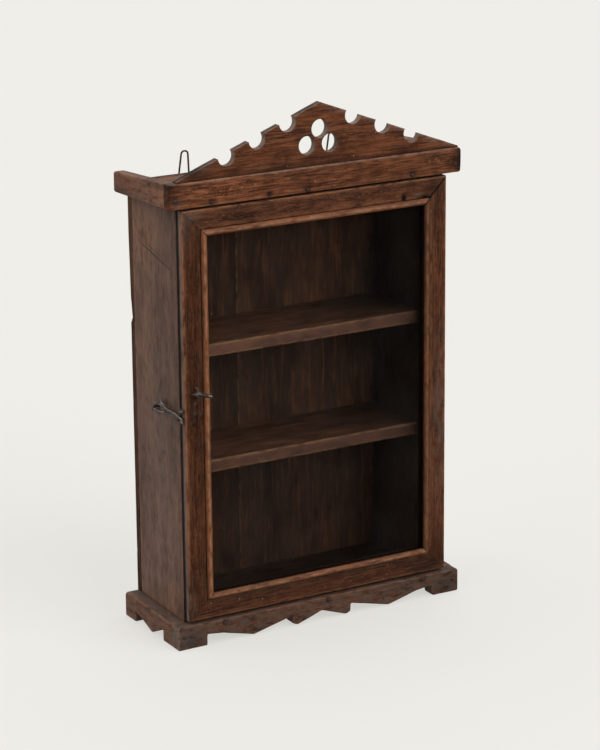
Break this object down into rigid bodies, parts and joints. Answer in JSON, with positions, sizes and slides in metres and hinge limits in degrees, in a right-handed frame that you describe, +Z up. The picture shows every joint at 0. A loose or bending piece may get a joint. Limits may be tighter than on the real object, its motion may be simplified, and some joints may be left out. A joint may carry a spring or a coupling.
{
  "type": "glazed wall cabinet",
  "caption": "Small wall cabinet of dark stained wood with a glazed, hinged door, inner shelves, a notched and pierced crest, a cut apron plinth, a side hook and an iron pull.",
  "frame": {"origin": "on the floor, in the middle of the cabinet's width and of its whole depth, from the pull's tip to the hanging wires", "axes": "+X to the right seen from the front, +Y to the back, +Z up; the front faces -Y"},
  "size_m": [0.4414, 0.1854, 0.713],
  "materials": {
    "side_wood": "old dark stain, matte and dusty",
    "inner_wood": "old dark stain, dry",
    "frame_wood": "dark stain with a waxed, worn sheen",
    "bead_wood": "stain worn back to lighter wood",
    "iron": "forged, dark, rubbed bright on edges",
    "glass": "clear, slightly dusty"
  },
  "bodies": {
    "carcass": {"left_side_panel": "side_wood", "right_side_panel": "side_wood", "top_board": "inner_wood", "bottom_board": "inner_wood", "upper_shelf": "inner_wood", "lower_shelf": "inner_wood", "back_board_left": "inner_wood", "back_board_right": "inner_wood", "cornice_front_board": "frame_wood", "cornice_left_board": "frame_wood", "cornice_right_board": "frame_wood", "crest_board": "frame_wood", "crest_dowels": "inner_wood", "plinth_front_board": "frame_wood", "plinth_left_board": "frame_wood", "plinth_right_board": "frame_wood", "cornice_nails": "iron", "plinth_nails": "iron", "back_nails": "iron", "hanging_wire_left": "iron", "hanging_wire_right": "iron", "hook_pivot_nail": "iron", "upper_hinge_fixed_leaf": "iron", "lower_hinge_fixed_leaf": "iron", "upper_hinge_pin": "iron", "lower_hinge_pin": "iron", "hinge_fixed_screws": "iron"},
    "door": {"door_left_stile": "frame_wood", "door_right_stile": "frame_wood", "door_top_rail": "frame_wood", "door_bottom_rail": "frame_wood", "bead_left": "bead_wood", "bead_right": "bead_wood", "bead_top": "bead_wood", "bead_bottom": "bead_wood", "glazing_strip_left": "inner_wood", "glazing_strip_right": "inner_wood", "glazing_strip_top": "inner_wood", "glazing_strip_bottom": "inner_wood", "door_glass": "glass", "upper_hinge_door_leaf": "iron", "lower_hinge_door_leaf": "iron", "hinge_door_screws": "iron", "pull_staple": "iron", "hook_catch_nail": "iron"},
    "hook": {"side_hook": "iron"},
    "pull": {"pull_bar": "iron"}
  },
  "joints": [
    {"name": "door_swing", "type": "hinge", "parent": "carcass", "child": "door", "pos_m": [0.2039, -0.0481, 0.314], "axis": [0, 0, 1], "range_deg": [0, 160]},
    {"name": "hook_swing", "type": "hinge", "parent": "carcass", "child": "hook", "pos_m": [-0.2055, 0.0124, 0.317], "axis": [-1, 0, 0], "range_deg": [0, 100]},
    {"name": "pull_swing", "type": "hinge", "parent": "door", "child": "pull", "pos_m": [-0.184, -0.0686, 0.351], "axis": [0, 0, 1], "range_deg": [-28, 50]}
  ]
}
